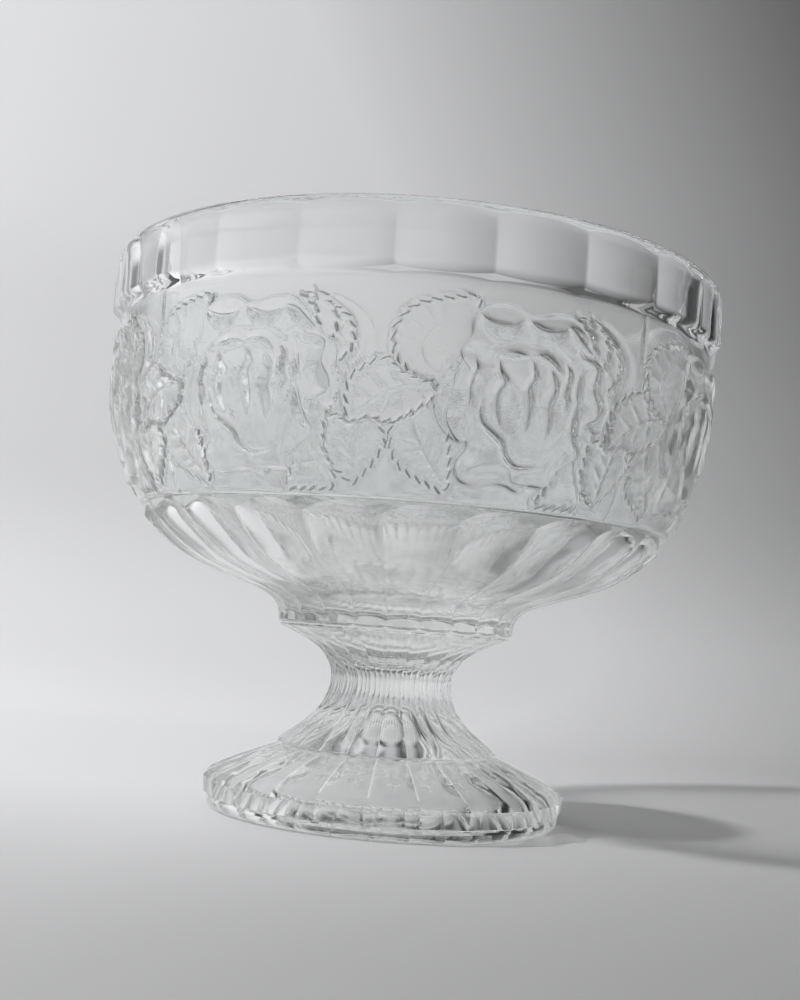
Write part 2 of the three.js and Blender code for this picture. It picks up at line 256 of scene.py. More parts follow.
bowl = spin("bowl_glass_body", bowl_line)

# %% [markdown]
# Only the frieze needs small faces. A finer lathe would make them everywhere, so the frieze's faces are cut
# in three both ways, down to 0.7 mm, and the faces that border on it simply get more corners. Nothing has
# been carved yet.

# %% Finer frieze
radius, angle, height = places(bowl)
inside_line = np.array(INSIDE[::-1])
inside_radius = np.interp(height, inside_line[:, 1], inside_line[:, 0])
on_frieze = (radius > inside_radius + 2) & (height > GROUND[0][1] - 0.05) & (height < FRIEZE_HIGH + 0.05)
select_none("FACE")
for face in bowl.data.polygons:
    face.select = bool(on_frieze[list(face.vertices)].all())
bpy.ops.object.mode_set(mode="EDIT")
bpy.ops.mesh.subdivide(number_cuts=2)
bpy.ops.object.mode_set(mode="OBJECT")
print("bowl:", len(bowl.data.polygons), "faces after the frieze was cut")

# %% [markdown]
# The roses could be sculpted on the bowl, but on the real mould they are one pattern, stamped eight times. So
# the carving is drawn flat, as a sheet of heights that holds one rose and one sprig of leaves, and is then
# wrapped round the bowl eight times. The sheet's u goes round and v goes up, both in millimetres. The sprig
# is drawn first, with u counted from its middle; then the sheet is turned by half its length, and the rose
# is drawn over it, with u counted from the rose.

# %% Sheet of the carving
PITCH = 72.2                          # from rose to rose
SHEET_COLUMNS = 360
SHEET_STEP = PITCH / SHEET_COLUMNS
MIDDLE = (FRIEZE_LOW + FRIEZE_HIGH) / 2
sheet_u = (np.arange(SHEET_COLUMNS) - SHEET_COLUMNS // 2) * SHEET_STEP
sheet_v = np.arange(-28, 28 + SHEET_STEP, SHEET_STEP)
U, V = np.meshgrid(sheet_u, sheet_v)
relief = np.zeros_like(U)
satin = np.full_like(U, 0.5)
# Two more layers are for the material, which sharpens the teeth and folds and darkens them with painted
# shade. leaf_edge holds the distance to the nearest edge of a leaf, the count of teeth along it and a weight;
# fold_line holds the distance to the nearest fold, positive on its soft side, and a weight.
leaf_edge = np.zeros((3, *U.shape))
fold_line = np.zeros((2, *U.shape))
print("sheet:", U.shape)


def near(points, reach):
    """The rows and columns of the sheet that lie within reach of the points."""
    low, high = np.min(points, axis=0) - reach, np.max(points, axis=0) + reach
    rows = slice(*np.searchsorted(sheet_v, [low[1], high[1]]))
    columns = slice(*np.searchsorted(sheet_u, [low[0], high[0]]))
    return rows, columns


def nearest(u, v, line):
    """Distance to the line, the side that a point lies on, and how far along the line that is."""
    best = np.full(u.shape, 1e9)
    side = np.zeros_like(u)
    along = np.zeros_like(u)
    length = 0.0
    for (u0, v0), (u1, v1) in zip(line, line[1:]):
        du, dv = u1 - u0, v1 - v0
        reach = math.hypot(du, dv)
        t = np.clip(((u - u0) * du + (v - v0) * dv) / reach**2, 0, 1)
        pu, pv = u - u0 - t * du, v - v0 - t * dv
        gap = np.hypot(pu, pv)
        closer = gap < best
        best = np.where(closer, gap, best)
        side = np.where(closer, np.sign(dv * pu - du * pv), side)
        along = np.where(closer, length + t * reach, along)
        length += reach
    return best, side, along, length


def depth_inside(u, v, outline):
    """Distance to the outline, positive inside, and how far along the outline that is."""
    line = through(outline, 1.0, closed=True)
    line = np.vstack([line, line[:1]])
    gap, _, along, length = nearest(u, v, line)
    inside = np.zeros(u.shape, bool)
    for (u0, v0), (u1, v1) in zip(line, line[1:]):
        if v0 != v1:
            crosses = ((v0 > v) != (v1 > v)) & (u < (u1 - u0) * (v - v0) / (v1 - v0) + u0)
            inside ^= crosses
    return np.where(inside, gap, -gap), along, length


# %% [markdown]
# A petal is a plate with a steep edge, which bulges a little and falls away towards its right side. Its rim
# can be rolled up. A leaf is a plate with teeth that lean forwards, each with a slot in front of it. A fold
# falls slowly on one side of its line and comes up again in a steep wall: the soft side lies on the left of a
# line that is drawn downwards, and below a line that is drawn to the right.

# %% Petals, leaves and folds
TOOTH_PITCH = 3.0
TOOTH = 1.3                           # a tooth's tip sticks out by this from its root


def draw_line(spot, gap, weight):
    """Keeps the line that weighs most at each point."""
    stronger = weight > fold_line[1][spot]
    for kept, new in zip(fold_line, (gap, weight)):
        kept[spot] = np.where(stronger, new, kept[spot])


def lay_petal(outline, level, bulge=0.4, fall=0.0, edge=0.5, line=0.5):
    """Lays a petal over what is drawn already."""
    spot = near(outline, 1.5)
    depth, _, _ = depth_inside(U[spot], V[spot], outline)
    cover = ease(depth / edge + 0.5)
    right = np.clip(-np.gradient(depth, SHEET_STEP, axis=1), 0, 1)
    height = level + bulge * ease(depth / 5) - fall * right * np.clip(1 - depth / 3.5, 0, 1) ** 1.6
    relief[spot] = relief[spot] * (1 - cover) + height * cover
    satin[spot] = satin[spot] * (1 - cover) + 0.8 * cover
    for lines in (leaf_edge[2], fold_line[1]):
        lines[spot] *= 1 - ease(depth + 0.5)
    draw_line(spot, -depth, line * np.clip(1 - np.abs(depth) / 1.4, 0, 1))


def lay_leaf(outline, level, slot=0.7):
    """Lays a leaf over what is drawn already, and cuts a slot in front of each tooth."""
    spot = near(outline, 2)
    depth, along, length = depth_inside(U[spot], V[spot], outline)
    teeth = along / length * max(3, round(length / TOOTH_PITCH))
    lean = teeth % 1
    toothed = depth + TOOTH * (lean - 0.5)
    cover = ease(toothed / 0.35 + 0.5)
    height = level * (1.0 + 0.15 * ease(depth / 3))
    groove = 1.5 * slot * bump(toothed, -0.35, 0.4) * ease(3 * lean) * ease(5 - 5 * lean)
    relief[spot] = relief[spot] * (1 - cover) + height * cover - groove
    satin[spot] = np.maximum(satin[spot], cover)
    leaf_edge[2][spot] *= 1 - ease(depth + 0.5)
    weight = ease((1.7 - np.abs(depth)) / 0.7)
    nearer = weight > leaf_edge[2][spot]
    for kept, new in zip(leaf_edge, (depth, teeth, weight)):
        kept[spot] = np.where(nearer, new, kept[spot])


def fold(points, drop, width=1.6, wall=0.4, lip=0.1, taper=0.7):
    """A groove whose depth and width taper towards both of its ends."""
    spot = near(points, width + 2)
    gap, side, along, length = nearest(U[spot], V[spot], through(points, 0.6))
    share = np.sin(math.pi * np.clip(along / length, 0.01, 0.99)) ** taper
    close = np.clip(1 - gap / (width * share), 0, 1)
    soft = close ** 1.3 * ease(side * gap / wall + 0.5)
    relief[spot] -= share * (drop * soft - lip * bump(side * gap, -0.7, 0.5))
    draw_line(spot, side * gap, close * share * min(drop / 2, 1))


def ridge(points, rise, width):
    """A soft roll that tapers towards both of its ends."""
    spot = near(points, 3 * width)
    gap, _, along, length = nearest(U[spot], V[spot], through(points, 0.6))
    share = np.sin(math.pi * np.clip(along / length, 0.01, 0.99)) ** 0.5
    relief[spot] += rise * share * bump(gap, 0, width)


def vein(points, drop=0.2):
    """A fine groove that fades out at its end."""
    spot = near(points, 2)
    gap, side, along, length = nearest(U[spot], V[spot], through(points, 0.8))
    taper = ease((length - along) / 2 + 0.2)
    relief[spot] -= 1.5 * drop * bump(gap, 0, 0.35) * taper
    draw_line(spot, side * gap, 1.2 * abs(drop) * np.clip(1 - gap / 0.9, 0, 1) * taper)


# %% [markdown]
# Between two roses lies a sprig: a leaf in the middle, two below it, a round one at the upper right, and a
# crescent with a leaf behind it at the upper left. Each outline is a few points, for a smooth curve to go
# through. What lies at the back is laid first. Veins could be left to the material, but carved ones are
# also in the exported mesh.

# %% Sprig of leaves
LOW_LEFT_LEAF = [(-9.5, -9.5), (-7, -8.8), (-3, -8), (-1.3, -11), (0, -14), (-1.8, -17), (-4, -20),
                 (-6, -22), (-8.5, -24), (-11, -22.3), (-14, -20), (-16, -15.5), (-16.5, -11.3),
                 (-18, -9.5), (-14, -8.3)]
LOW_RIGHT_LEAF = [(11.5, -2.7), (8.5, -5.5), (6, -7.5), (2, -9.5), (1.8, -14.5), (4, -19), (8, -21.5),
                  (12, -23), (17, -24.5), (17.5, -20), (16.5, -13.5), (15.5, -10.5), (12.5, -6.5)]
ROUND_LEAF = [(21, 23), (17, 22.7), (13.3, 22), (9, 21), (5.5, 19.5), (3, 17), (1.2, 14), (1, 10.5),
              (1.8, 7), (4.5, 4.2), (8.3, 1.5), (12, 0.3), (16, 5.5), (19.5, 8.5), (21, 15)]
CRESCENT = [(-19, 22.6), (-13, 21.3), (-7.5, 18.2), (-4.2, 13.8), (-4, 8), (-7.5, 1.7), (-10, 3.6),
            (-9.8, 7.4), (-8.4, 11.5), (-9.4, 15.9), (-14, 20)]
BACK_LEAF = [(-23.5, 22.4), (-18, 20), (-14.8, 18.5), (-11, 16), (-9.5, 12), (-10, 8), (-13, 6),
             (-15.2, 10.9), (-15.2, 13), (-17, 14.8), (-19, 18.3)]
CENTRE_LEAF = [(11.2, 0.5), (11.5, -2.7), (6.2, -6.5), (3.2, -8.4), (-0.7, -8.9), (-4.3, -8.1),
               (-9.7, -9.4), (-10, -6), (-10.2, -3.5), (-9.3, 0.7), (-6.6, 3.2), (-3.3, 5.3),
               (-0.2, 6), (3.4, 3.1), (8.7, 1.3)]
lay_petal(CRESCENT, 0.5, bulge=0.4, edge=0.8, line=0.2)
lay_leaf(BACK_LEAF, 0.8, slot=0.9)
lay_leaf(ROUND_LEAF, 0.8, slot=0.8)
fold([(15.5, 16.2), (11.5, 14.8), (9, 12.5), (8, 9.3), (9, 6), (11.6, 3.7), (14, 2.6)], 0.4, width=0.9)
for start, end in [((4, 17), (8.5, 14)), ((3, 12), (7.5, 11)), ((4, 7.5), (8, 8)), ((8, 20), (11, 16)),
                   ((12, 21), (13, 17))]:
    vein([start, end], 0.12)
lay_leaf(LOW_LEFT_LEAF, 0.8)
vein([(-8.5, -22.5), (-8.2, -17), (-7.2, -12), (-7, -9.5)], 0.3)
for start, end in [((-8, -18.5), (-13, -14)), ((-7.8, -14.5), (-12, -11)), ((-8, -18.5), (-4, -15.5)),
                   ((-7.5, -14.5), (-3.5, -11)), ((-8.3, -20.5), (-11.5, -18.5))]:
    vein([start, end], 0.2)
lay_leaf(LOW_RIGHT_LEAF, 0.8)
vein([(15.5, -22.5), (11, -17), (7.5, -11.5), (6.5, -8.5)], 0.3)
for start, end in [((12.5, -18.5), (8, -20)), ((10, -15.5), (4.5, -16.5)), ((8.5, -13), (4, -12.5)),
                   ((12.5, -18.5), (14.5, -13.5)), ((10, -15.5), (12.5, -9.5)), ((14, -20.5), (10, -21.5))]:
    vein([start, end], 0.2)
lay_leaf(CENTRE_LEAF, 1.2)
vein([(9.5, 0.2), (4, -0.4), (-2, -3), (-8.5, -8)], 0.35)
for start, end in [((4, -0.4), (1, 3.8)), ((0.5, -1.7), (-4.5, 3)), ((-3, -3.6), (-8, -1)),
                   ((4, -0.4), (3.5, -6)), ((0.5, -1.7), (-1.5, -7)), ((-5, -5), (-6, -8))]:
    vein([start, end], 0.22)
print("sprig: highest", round(float(relief.max()), 2), "mm")
relief = np.roll(relief, SHEET_COLUMNS // 2, axis=1)
satin = np.roll(satin, SHEET_COLUMNS // 2, axis=1)
leaf_edge = np.roll(leaf_edge, SHEET_COLUMNS // 2, axis=2)
fold_line = np.roll(fold_line, SHEET_COLUMNS // 2, axis=2)

# %% [markdown]
# The rose is in the middle of the turned sheet. Two leaves look out from behind it, and eight petals lie on
# each other like plates. Laying them one by one, from the back to the heart, gives the overlaps by itself.

# %% Leaves behind the rose
LEAF_BELOW = [(14, -9), (17.8, -5), (21.4, -3.9), (20.9, -7.2), (19.9, -10.1), (19.8, -13.7), (19.7, -17.2),
              (21.3, -19.5), (22, -25), (17, -25.5), (8.4, -25.6), (9.7, -23), (12, -16)]
NARROW_LEAF = [(17, 22.7), (20.8, 18.7), (22.2, 14.9), (21.2, 10.4), (18.5, 12.5), (17.3, 17)]
lay_leaf(LEAF_BELOW, 0.9, slot=0.8)
vein([(21, -23), (17, -17), (15, -11)], 0.25)
vein([(18.6, -19.5), (14, -20)], 0.2)
vein([(17, -17), (18.6, -12)], 0.2)
lay_leaf(NARROW_LEAF, 0.9, slot=0.9)
print("leaves behind the rose: highest", round(float(relief.max()), 2), "mm")

# %% Petals of the rose
RIGHT_BACK = [(16, 14.5), (18, 12.9), (21.7, 9.8), (23.2, 7.5), (23, 3.5), (24.6, 0.1), (23.7, -2.5),
              (22.5, -6), (18.5, -5), (16, 5)]
TOP = [(-18.5, 9.3), (-16.2, 13.1), (-16.1, 16.6), (-15.3, 19.1), (-13.6, 20.4), (-11.9, 21.6),
       (-8.8, 22.2), (-5.5, 22), (-3.5, 21), (-1, 20), (2.2, 20.3), (5.2, 21.3), (8, 21.4), (10.5, 21.2),
       (12.7, 19.8), (14.7, 17.6), (16.7, 14.7), (18.4, 12.4), (17, 5), (10, 0), (0, 0), (-10, 0),
       (-16, 5)]
LEFT = [(-16.9, 9), (-20.2, 5.7), (-23, 1.7), (-24.2, -1.8), (-24, -5.5), (-22.6, -8.7), (-20.2, -11.1),
        (-15.8, -12.7), (-12, -9), (-11, 0), (-12, 7)]
LEFT_FRONT = [(-16.3, 8.5), (-19.2, 4.4), (-19.6, 0), (-20.6, -5.2), (-20.6, -7.9), (-18.4, -11.3),
              (-15.8, -12.5), (-11, -9), (-10, 0), (-11, 7.5)]
RIGHT = [(12.5, 13.4), (14.3, 11.8), (17.5, 11.2), (19.8, 9.8), (19.5, 6.9), (19.2, 4.3), (21.2, 0.7),
         (21.1, -2.5), (17.7, -4.7), (15.6, -7.9), (11, -4), (10, 3), (9.5, 10)]
LOW_LEFT = [(-15.9, -8.4), (-15.3, -11.4), (-14.7, -14), (-16.9, -17.2), (-17.1, -19.5), (-15.1, -22),
            (-11.4, -22.6), (-6.8, -21.8), (-2.3, -22), (2.2, -22.9), (5, -17), (0, -8), (-6, 2),
            (-14, 2)]
BOTTOM = [(-1, -20.8), (4.2, -21.3), (9.5, -21.3), (11.1, -19.6), (11.8, -17.4), (13.4, -15.1),
          (16.3, -13.1), (16.5, -11.3), (14.8, -8.4), (13.8, -4.7), (12.5, -1), (8, 0), (0, -8),
          (-2, -16)]
HEART = [(-14.4, 7.8), (-13.2, 4.6), (-14.3, 1.6), (-14.4, -2), (-14, -4), (-12.4, -5), (-11.3, -7.9),
         (-8.3, -9.9), (-5.5, -12), (-4, -14.7), (-1.3, -16.9), (2, -17), (6.1, -16.7), (9.5, -12),
         (12.5, -4), (13, 2), (13, 9), (10, 12), (4, 13), (-3, 13), (-9, 11.5)]
lay_petal(RIGHT_BACK, 1.4, bulge=0.2)
lay_petal(LEFT, 0.9, bulge=0.5)
lay_petal(LEFT_FRONT, 1.5, bulge=0.5)
lay_petal(TOP, 1.4, bulge=0.5)
lay_petal(RIGHT, 1.7, bulge=0.3)
lay_petal(LOW_LEFT, 1.3, bulge=0.7)
lay_petal(BOTTOM, 1.6, bulge=0.5, fall=1.0)
lay_petal(HEART, 2.0, bulge=0.6, edge=1.6, line=0.15)
print("petals: highest", round(float(relief.max()), 2), "mm")

# %% [markdown]
# Plates alone look flat. On the real rose the petals' upper rims are rolled, and deep soft hollows with one
# steep wall lie under them and between the petals of the heart. Both are drawn as lines that taper at their
# ends, because a line is quicker to put in its place than a surface.

# %% Rolled rims
ridge([(-16.2, 14), (-15.2, 17.6), (-12.6, 19.9), (-8.8, 20.8), (-5.2, 20.6), (-2, 19.4)], 0.7, 1.3)
ridge([(-0.6, 19.3), (3, 19.6), (7.6, 20.3), (11, 19.8), (13.6, 17.8), (16, 14.6), (18.3, 11.9)], 0.8, 1.2)
ridge([(-1.5, 19), (-3.5, 17), (-5, 14)], 0.4, 1.2)
ridge([(-10.2, 10), (-7.5, 11.7), (-4.8, 12.8), (-2, 12.6), (0.2, 11.8)], 0.5, 1.0)
ridge([(0, 12), (3, 12.6), (6, 11.6), (8.4, 9.4), (9, 7)], 0.5, 1.0)
ridge([(-16, -16), (-16.2, -19.4), (-14.6, -21.3), (-11.2, -21.6), (-6.8, -20.9), (-2, -21)], 0.5, 1.0)
print("rims: highest", round(float(relief.max()), 2), "mm")

# %% Hollows under the rims, and folds
fold([(-14.6, 19.2), (-12.8, 18), (-10, 17.3), (-6.5, 17.4), (-3.8, 18.3)], 1.6, width=4.5, wall=1.4)
fold([(-1.9, 19), (0.4, 18), (3, 17.3), (6, 17.4), (9, 18.4)], 1.8, width=4.2, wall=0.8)
fold([(8.6, 19), (12, 18.2), (14.4, 16.1), (17.3, 13.2), (18, 12)], 1.8, width=4)
fold([(-10.5, 9.2), (-7.3, 10.4), (-4.3, 10.4), (-1.5, 9.7)], 1.6, width=2.6, wall=0.7)
fold([(-1.5, 10.2), (1.2, 10.8), (4, 10.1), (6.1, 8.4), (7, 6.4)], 1.8, width=2.4)
fold([(-15.1, 8.1), (-13.9, 5.4), (-14.5, 4), (-15.3, 0.5), (-15.2, -2.2), (-15.6, -7)], 1.6, width=2.0)
fold([(-9.1, 8.4), (-8.2, 5.1), (-6.6, 2.8), (-8.2, -0.1), (-8.4, -3.9), (-6.9, -8.8)], 2.0, width=2.8)
fold([(-0.6, 9), (0.6, 6.2), (0.9, 4.2), (-0.3, 1.9), (0.2, -1.1), (0.3, -4.2), (-0.5, -9.6)], 2.0, width=2.8)
fold([(4.4, 7.5), (6.5, 4.2), (6.8, 1.8), (5.7, -1.5), (6.1, -4.9), (6, -7.3), (5.1, -10.4)], 1.7, width=3.8)
fold([(8.4, 9.4), (10.6, 7), (10.4, 4.5), (9.9, 1.6), (10.6, -0.1), (9.3, -3.6)], 1.8, width=2.8)
fold([(13.5, 7.3), (13.4, 4.6), (13.6, 2.1), (13, -0.7)], 1.5, width=1.7)
fold([(12.1, 13.9), (14.3, 11.8), (17.5, 11.2), (19.8, 9.8), (19.5, 6.9), (19.2, 4.3), (21.2, 0.7),
      (21.1, -2.5), (17.7, -4.7), (15.6, -8)], 1.8, width=4.0)
fold([(-11.3, -1), (-12.5, -4.4), (-11.3, -7.7), (-8.3, -9.7), (-5.5, -11.8), (-4, -14.7), (-1.3, -16.9),
      (2, -17), (6.5, -16.7)], 1.8, width=1.7)
fold([(12.9, -2.8), (13.8, -4.7), (14.8, -8.4), (16.5, -11.3), (16, -13.3)], 1.0, width=3)
vein([(-3.4, 1), (-3.2, -4), (-3.4, -9)], -0.15)
relief = np.maximum(relief, -0.3)
print("carving: highest", round(float(relief.max()), 2), "mm, lowest", round(float(relief.min()), 2))

# %% [markdown]
# Crisp folds need small faces, and a piece may have only so many. So the net of faces is gathered: each
# crossing of the net moves to the weighted mean of its four neighbours, where steep places weigh most. After
# a few hundred rounds the faces along the edges and folds are half as wide as before, and wider elsewhere.

# %% Gathered net
NET_COLUMNS = 3 * STEPS // 8
ROUNDS = 600
STEEP_WEIGHT = 4.5
STEEP_SLOPE = 1.2                     # a slope that counts in full
SEAM_WEIGHT = 0.8                     # the mould's seam, halfway between two roses
MOVE = 0.8                            # of the way to the mean, in one round


def on_sheet(values, u, v):
    """Reads the sheet between its points. The sheet repeats round the bowl."""
    column = ((u - sheet_u[0]) / SHEET_STEP) % SHEET_COLUMNS
    row = np.clip((v - sheet_v[0]) / SHEET_STEP, 0, len(sheet_v) - 1.001)
    i, j = column.astype(int) % SHEET_COLUMNS, row.astype(int)
    x, y = column - column.astype(int), row - j
    after = (i + 1) % SHEET_COLUMNS
    low = values[j, i] * (1 - x) + values[j, after] * x
    high = values[j + 1, i] * (1 - x) + values[j + 1, after] * x
    return low * (1 - y) + high * y


steep = np.hypot(*np.gradient(relief, SHEET_STEP))
steep = np.minimum(steep / STEEP_SLOPE, 1)
steep = np.maximum(steep, SEAM_WEIGHT * bump(np.abs(U), PITCH / 2, 0.5))
for _ in range(6):                    # softened a little
    for axis in (0, 1):
        steep = (np.roll(steep, 1, axis) + 2 * steep + np.roll(steep, -1, axis)) / 4
weight = 1 + STEEP_WEIGHT * np.minimum(1.5 * steep, 1)

radius, angle, height = places(bowl)
inside_radius = np.interp(height, inside_line[:, 1], inside_line[:, 0])
outside = (radius > inside_radius + 2) & (height < 163.5) | (height < 64) & (radius > 20)
frieze = outside & (height > GROUND[0][1] - 0.05) & (height < FRIEZE_HIGH + 0.05)
stack = np.sort(height[frieze])
levels = stack[np.append(True, np.diff(stack) > 0.05)]
net_row = np.rint(np.interp(height[frieze], levels, np.arange(len(levels)))).astype(int)
net_u, net_v = np.meshgrid((np.arange(NET_COLUMNS) / NET_COLUMNS - 0.5) * PITCH, levels - MIDDLE)
wrap = np.zeros(NET_COLUMNS)
wrap[-1] = PITCH
for _ in range(ROUNDS):
    pull = on_sheet(weight, net_u, net_v)
    right = (pull + np.roll(pull, -1, 1))[1:-1]
    left = np.roll(right, 1, 1)
    above = (pull[1:-1] + pull[2:])
    below = (pull[1:-1] + pull[:-2])
    total = right + left + above + below
    for net, step in ((net_u, wrap), (net_v, 0 * wrap)):
        on_right = (np.roll(net, -1, 1) + step)[1:-1]
        on_left = (np.roll(net, 1, 1) - np.roll(step, 1))[1:-1]
        mean = right * on_right + left * on_left
        net[1:-1] += MOVE * ((mean + above * net[2:] + below * net[:-2]) / total - net[1:-1])
print("net:", net_u.shape, "narrowest face", round(float(np.diff(net_u, axis=1).min()), 2), "mm,",
      "lowest", round(float(np.diff(net_v, axis=0).min()), 2), "mm")

# %% [markdown]
# Now the sheet is wrapped round the bowl. The same step draws the flutes and panels in, and follows their
# arched tops: the flute's rows of faces rise towards the middle of each flute, so that the arch is an edge.
#
# The vertices between the arches and the frieze are kept aside as over_arch, for glass with painted shade.
# The satin goes to the mesh too: the leaves and petals have most of it, the ground between them half, and the
# smooth inside is satin up to the rim band.

# %% Wrap the carving
# height, depth of the flutes and how far their middle is lifted
BOWL_FLUTES = np.array([(56.3, 0, 0), (57.2, 0.2, 0), (61, 0.6, 0), (64.6, 1.1, 0), (69, 1.9, 0),
                        (74, 2.5, 0), (79.6, 2.5, 1.8), (83.3, 2.1, 2.7), (84.9, 0, 3.1), (88.5, 0, 0)])
BAND_FLUTES = np.array([(143.3, 0, 0), (144.3, 0.5, 0), (145.7, 1.1, 0), (148, 1.35, 0), (151.5, 1.4, 0),
                        (157, 1.3, 1.4), (159.4, 0.7, 1.4), (161.2, 0.1, 0.4), (163.3, 0, 0)])
ARCH_LOW, ARCH_HIGH = 84.85, 88.65
ROSES = 8
SEAM_TURN = math.pi / 4               # the mould's four parting lines, between the roses
SEAM_H, SEAM_WIDTH = 0.3, 0.5
FRIEZE_R = 91
FADE = 1.5                            # the carving runs out over this height at both borders
SATIN_TOP = 139                       # the inside is satin up to here, and clear 5 mm above
turn = np.rint(angle / (2 * math.pi) * ROSES * NET_COLUMNS).astype(int)[frieze]
over_arch = outside & (height > ARCH_LOW) & (height < ARCH_HIGH)
for table in (BOWL_FLUTES, BAND_FLUTES):
    zone = outside & ~frieze & (height >= table[0, 0] - 0.01) & (height <= table[-1, 0])
    angle = np.where(zone, to_ridges(angle), angle)
    share = hollowness(angle) * zone
    radius = radius - np.interp(height, table[:, 0], table[:, 1]) * share
    height = height + np.interp(height, table[:, 0], table[:, 2]) * share
u, v = net_u[net_row, turn % NET_COLUMNS], net_v[net_row, turn % NET_COLUMNS]
angle[frieze] = (turn // NET_COLUMNS + 0.5 + u / PITCH) * 2 * math.pi / ROSES
height[frieze] = v + MIDDLE
ground = through(GROUND, 0.5)
fade = ease((v + MIDDLE - FRIEZE_LOW - 0.4) / FADE) * ease((FRIEZE_HIGH - MIDDLE - v) / FADE)
from_seam = (angle[frieze] / SEAM_TURN - 1) / 2 % 1
from_seam = np.minimum(from_seam, 1 - from_seam) * 2 * SEAM_TURN
seam = SEAM_H * bump(from_seam * FRIEZE_R, 0, SEAM_WIDTH)
carved = on_sheet(relief, u, v) * fade
radius[frieze] = np.interp(height[frieze], ground[:, 1], ground[:, 0]) + np.maximum(carved, seam)
place(bowl, radius, angle, height)
etched = np.zeros(len(radius), np.float32)
etched[frieze] = on_sheet(satin, u, v) * fade
inside = ~outside & (radius < 90)
etched[inside] = (1 - 0.2 * ease((height[inside] - 84) / 8)) * (1 - ease((height[inside] - SATIN_TOP) / 5))
mask = bowl.data.attributes.new("satin", "FLOAT", "POINT")
mask.data.foreach_set("value", etched)
for name, values in (("leaf_edge", leaf_edge), ("fold_line", fold_line)):
    lines = np.zeros((len(radius), 3), np.float32)
    for axis, value in enumerate(values):
        lines[frieze, axis] = on_sheet(value, u, v)
    kept = bowl.data.attributes.new(name, "FLOAT_VECTOR", "POINT")
    kept.data.foreach_set("vector", lines.ravel())
print("bowl: frieze vertices", int(frieze.sum()), "highest relief", round(float(carved.max()), 2))

# %% [markdown]
# Both bodies are shaded smooth. The ridges of the foot and the edges of the ledges stay crisp: edges that
# turn by more than 18 degrees are marked sharp. The frieze, the rim band and the bowl's flutes have none,
# because real ones are rounded by the fire.

# %% Shading
CRISP = math.radians(18)


def crisp_edges(piece, soft):
    """Marks edges that turn sharply, unless they touch a soft vertex."""
    bpy.context.view_layer.objects.active = piece
    piece.select_set(True)
    bpy.ops.object.shade_smooth()
    select_none("EDGE")
    bpy.ops.object.mode_set(mode="EDIT")
    bpy.ops.mesh.edges_select_sharp(sharpness=CRISP)
    bpy.ops.object.mode_set(mode="OBJECT")
    ends = np.empty(len(piece.data.edges) * 2, int)
    piece.data.edges.foreach_get("vertices", ends)
    chosen = np.empty(len(piece.data.edges), bool)
    piece.data.edges.foreach_get("select", chosen)
    chosen &= ~soft[ends.reshape(-1, 2)].any(axis=1)
    kept = piece.data.attributes
    crisp = kept.get("sharp_edge") or kept.new("sharp_edge", "BOOLEAN", "EDGE")
    crisp.data.foreach_set("value", chosen)
    piece.select_set(False)
    print(piece.name, "has", int(chosen.sum()), "crisp edges")


band = height > FRIEZE_HIGH - 0.2
bowl_flutes = outside & (height > 57.5) & (height < 84)
crisp_edges(bowl, frieze | band | bowl_flutes)
crisp_edges(foot, np.zeros(len(foot.data.vertices), bool))

# %% [markdown]
# Soda-lime glass has an index of refraction of 1.52. Pressed and fire-polished, its surface is glossy with
# slight waves from the mould. Where acid has etched it, the surface is satin: light that passes is spread,
# and a part of it is thrown back white. The glass is faintly green-grey, and light picks up a little of
# that tint each time it goes in or out.
#
# How much a place is etched could be painted on the mesh or guessed from its height. It comes from the
# sheet of the carving, through the mesh's "satin" values, so it keeps to the leaves and petals. The finest
# teeth and folds are narrower than the faces, so they are drawn once more by the material, from values on
# the mesh: as a bump, and as painted shade that darkens the slots of the teeth and the soft sides of the
# folds.
#
# A plain render can't focus a lamp's light through glass. So each wall lets a share of the lamp's light go
# straight through, and less where the wall stands aslant to it: the shadow gets dark edges and a light
# middle, as under real glass. What is seen through the glass is bent in the true way.

# %% Material helpers
def colour(code):
    """An sRGB hex colour as linear values."""
    channels = [int(code[i:i + 2], 16) / 255 for i in (1, 3, 5)]
    linear = [c / 12.92 if c <= 0.04045 else ((c + 0.055) / 1.055) ** 2.4 for c in channels]
    return (*linear, 1.0)


def add_node(tree, kind, inputs=None, links=None, **settings):
    """Adds a node, with its settings, the values of its inputs and what is linked to them."""
    node = tree.nodes.new(kind)
    for name, value in settings.items():
        setattr(node, name, value)
    for socket, value in (inputs or {}).items():
        node.inputs[socket].default_value = value
    for socket, source in (links or {}).items():
        tree.links.new(source, node.inputs[socket])
    return node


def work_out(tree, known, steps):
    """Works out a sum in a row of nodes, and keeps each result by its name.

    A step is a name, an operation and its terms, which are numbers or names of what is known. As the first
    term goes from the second to the third, SMOOTH and EVEN go from the fourth to the fifth, or from 0 to 1.
    """
    for name, operation, *terms in steps:
        if operation in ("SMOOTH", "EVEN"):
            kind = "ShaderNodeMapRange"
            setting = {"interpolation_type": "SMOOTHSTEP" if operation == "SMOOTH" else "LINEAR"}
        else:
            kind, setting = "ShaderNodeMath", {"operation": operation}
        numbers = {i: term for i, term in enumerate(terms) if not isinstance(term, str)}
        links = {i: known[term] for i, term in enumerate(terms) if isinstance(term, str)}
        known[name] = add_node(tree, kind, numbers, links, **setting).outputs[0]
    return known


def new_material(name):
    material = bpy.data.materials.new(name)
    material.use_nodes = True
    material.node_tree.nodes.clear()
    return material, material.node_tree


